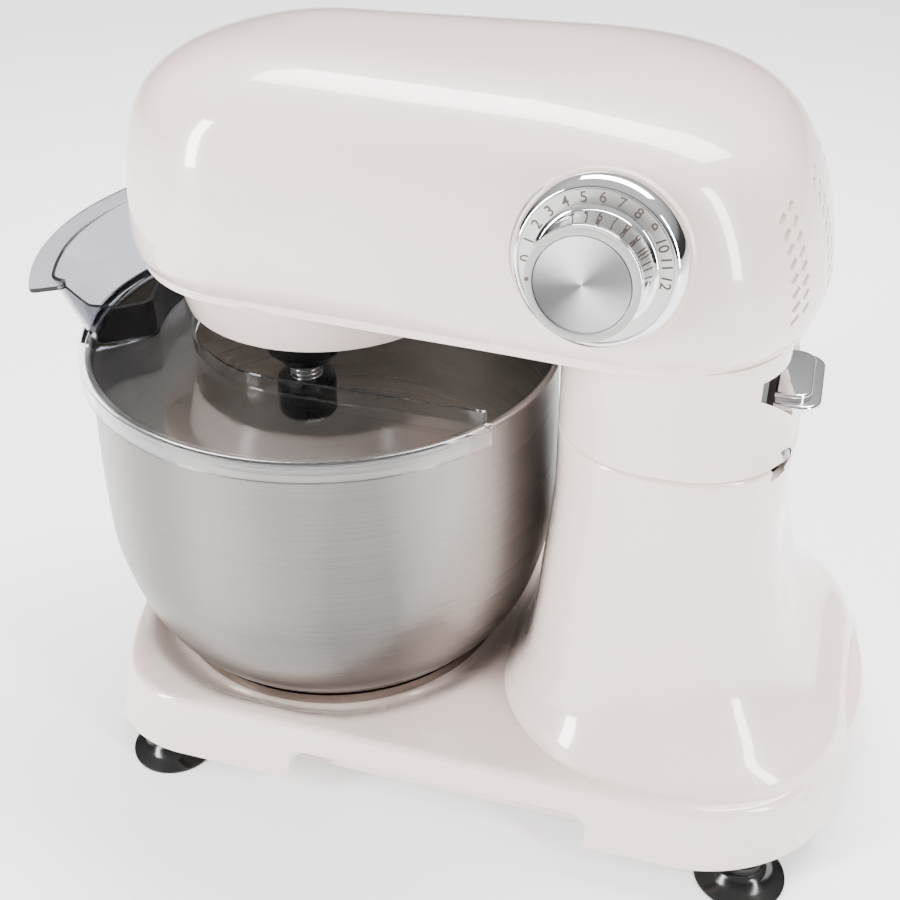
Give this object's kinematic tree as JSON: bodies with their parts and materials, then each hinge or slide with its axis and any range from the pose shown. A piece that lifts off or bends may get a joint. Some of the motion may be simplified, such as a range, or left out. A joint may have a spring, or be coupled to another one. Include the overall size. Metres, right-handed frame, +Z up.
{
  "type": "stand mixer",
  "caption": "Tilt-head stand mixer with steel bowl, clear splash guard and pouring chute, planetary tool drive, numbered speed dial and a rear head-release lever.",
  "frame": {"origin": "middle of the footprint on the worktop, at the bottom of the feet", "axes": "+Z up, -X toward the front where the bowl stands, +X toward the rear, -Y the side of the speed dial"},
  "size_m": [0.3984, 0.2326, 0.3315],
  "materials": {
    "body_enamel": "warm cream gloss enamel",
    "base_plastic": "matte taupe moulding",
    "foot_rubber": "soft black rubber",
    "black_plastic": "satin black moulding",
    "zinc_screw": "zinc-plated steel",
    "pressed_steel": "plain machined steel",
    "cast_alloy": "die-cast aluminium alloy",
    "gear_steel": "hardened steel",
    "gear_nylon": "natural nylon",
    "copper": "enamelled copper",
    "carbon": "pressed carbon",
    "circuit_board": "green board with components",
    "spring_steel": "bright spring wire",
    "polished_chrome": "mirror chrome",
    "dial_silver": "satin silver with printed numbers",
    "dial_grey": "grey satin ring with an index dot",
    "spun_metal": "radially spun bright metal",
    "bowl_steel": "circumferentially brushed stainless steel",
    "foot_ring_steel": "polished stainless steel",
    "clear_plastic": "clear moulded copolyester",
    "clear_grey_plastic": "clear moulded copolyester, grey in the thick"
  },
  "bodies": {
    "base": {"base_housing": "body_enamel", "bottom_plate": "base_plastic", "suction_feet": "foot_rubber", "base_screws": "zinc_screw", "bowl_seat": "black_plastic", "column_frame": "pressed_steel", "frame_bolts": "zinc_screw", "hinge_pin": "pressed_steel", "latch_striker": "pressed_steel", "cord_gland": "black_plastic"},
    "head": {"head_top_cover": "body_enamel", "head_lower_cover": "body_enamel", "head_screws": "zinc_screw", "gear_housing": "cast_alloy", "gearbox_lid": "cast_alloy", "ring_gear": "gear_steel", "planet_bearings": "gear_steel", "hinge_arm": "pressed_steel", "lever_pin": "pressed_steel", "lever_spring": "spring_steel", "lever_shroud": "black_plastic", "motor_bracket_front": "cast_alloy", "motor_bracket_rear": "cast_alloy", "motor_stator": "pressed_steel", "field_coils": "copper", "tie_bolts": "zinc_screw", "brush_holders": "black_plastic", "carbon_brushes": "carbon", "rotor_bearings": "gear_steel", "control_board": "circuit_board", "speed_switch": "black_plastic", "dial_flange": "dial_silver"},
    "speed_dial": {"dial_knob": "polished_chrome", "dial_bezel": "dial_grey", "dial_cap": "spun_metal", "dial_shaft": "polished_chrome"},
    "lever": {"release_lever": "polished_chrome", "latch_hook": "pressed_steel"},
    "rotor": {"worm_shaft": "pressed_steel", "armature": "pressed_steel", "rotor_windings": "copper", "commutator": "copper", "cooling_fan": "gear_nylon"},
    "idler": {"worm_wheel": "gear_nylon", "idler_shaft": "pressed_steel"},
    "planet": {"planet_carrier": "cast_alloy", "main_gear": "gear_nylon", "tool_bearing": "gear_steel", "drive_boot": "black_plastic"},
    "tool": {"tool_shaft": "pressed_steel", "planet_gear": "gear_steel", "gear_pin": "zinc_screw", "coupling_spring": "spring_steel"},
    "collar": {"tool_coupling": "black_plastic"},
    "bowl": {"bowl": "bowl_steel", "bowl_foot_ring": "foot_ring_steel"},
    "guard": {"splash_guard": "clear_plastic", "pouring_chute": "clear_grey_plastic"}
  },
  "joints": [
    {"name": "head_tilt", "type": "hinge", "parent": "base", "child": "head", "pos_m": [0.1365, 0, 0.1874], "axis": [0, 1, 0], "range_deg": [0, 40]},
    {"name": "dial_turn", "type": "hinge", "parent": "head", "child": "speed_dial", "pos_m": [0.0645, -0.0794, 0.2825], "axis": [0.052, 0.9932, -0.1045], "range_deg": [0, 185]},
    {"name": "lever_lift", "type": "hinge", "parent": "head", "child": "lever", "pos_m": [0.112, 0, 0.207], "axis": [0, -1, 0], "range_deg": [0, 15], "stiffness_Nm_per_rad": 0.3, "springref_deg": -17.19},
    {"name": "rotor_spin", "type": "hinge", "parent": "head", "child": "rotor", "pos_m": [0.05, -0.01074, 0.284], "axis": [1, 0, 0], "continuous": true},
    {"name": "idler_spin", "type": "hinge", "parent": "head", "child": "idler", "pos_m": [-0.03, 0.01616, 0.27], "axis": [0, 0, 1], "continuous": true},
    {"name": "planet_spin", "type": "hinge", "parent": "head", "child": "planet", "pos_m": [-0.074, 0, 0.24], "axis": [0, 0, 1], "continuous": true},
    {"name": "tool_spin", "type": "hinge", "parent": "planet", "child": "tool", "pos_m": [-0.07696, -0.01978, 0.2], "axis": [0, 0, 1], "continuous": true},
    {"name": "coupling_slide", "type": "slide", "parent": "tool", "child": "collar", "axis": [0, 0, 1], "range_m": [0, 0.004], "stiffness_N_per_m": 300, "springref_m": -0.005, "deforming": ["coupling_spring"]},
    {"name": "bowl_twist", "type": "hinge", "parent": "base", "child": "bowl", "pos_m": [-0.074, 0, 0.1], "axis": [0, 0, 1], "range_deg": [0, 30]},
    {"name": "guard_turn", "type": "hinge", "parent": "bowl", "child": "guard", "pos_m": [-0.074, 0, 0.19], "axis": [0, 0, 1], "range_deg": [-60, 60]}
  ],
  "couplings": [
    {"joint": "idler_spin", "follows": "rotor_spin", "ratio": -0.066667},
    {"joint": "planet_spin", "follows": "rotor_spin", "ratio": 0.016667},
    {"joint": "tool_spin", "follows": "rotor_spin", "ratio": -0.05}
  ]
}
